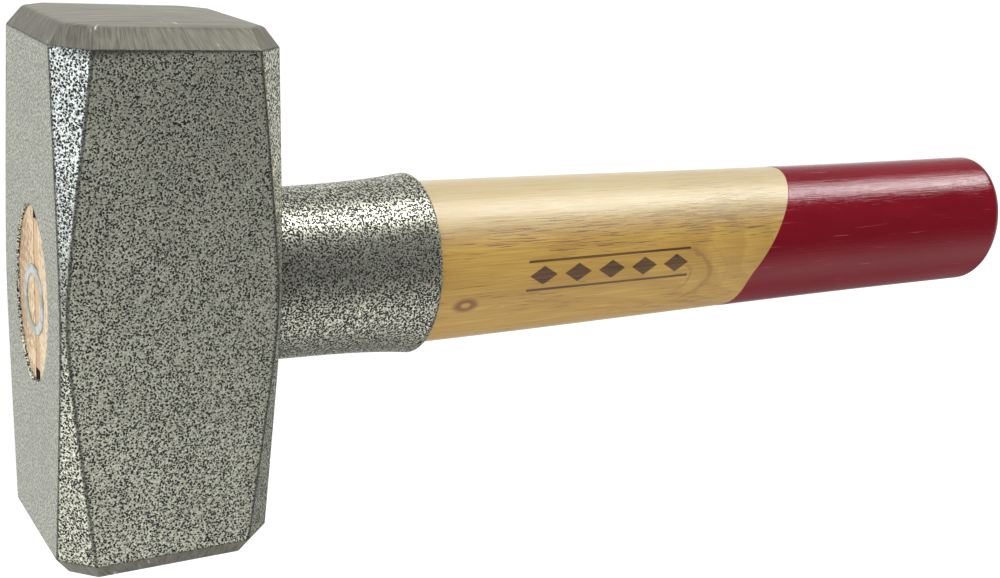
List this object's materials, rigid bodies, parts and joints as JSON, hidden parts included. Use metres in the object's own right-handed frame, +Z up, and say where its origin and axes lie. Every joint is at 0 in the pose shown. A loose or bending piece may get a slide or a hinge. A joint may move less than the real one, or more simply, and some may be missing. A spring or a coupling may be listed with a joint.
{
  "type": "lump hammer",
  "caption": "Short-handled club hammer with a square forged head, hourglass corner facets, flared steel neck sleeve and oval hardwood handle with a lacquered end.",
  "frame": {"origin": "centre of the head's lower cheek, on which the hammer lies", "axes": "+X along the handle away from the head, +Y along the head's length, +Z up, square to the cheek"},
  "size_m": [0.2622, 0.107, 0.0428],
  "materials": {
    "hammertone_paint": "grey hammertone paint with fine dark speckle, glossy",
    "ground_steel": "ground striking faces and bevels with fine grinding scratches",
    "varnished_wood": "honey-coloured ash under clear glossy varnish",
    "red_lacquer": "glossy deep red lacquer over the wood's grain",
    "raw_wood": "bare end grain, sawn",
    "bright_steel": "bright zinc-coloured steel ring"
  },
  "bodies": {
    "root": {"head": "hammertone_paint", "handle": "varnished_wood", "handle_sleeve": "hammertone_paint", "wood_wedge": "raw_wood", "ring_wedge": "bright_steel"}
  },
  "joints": []
}
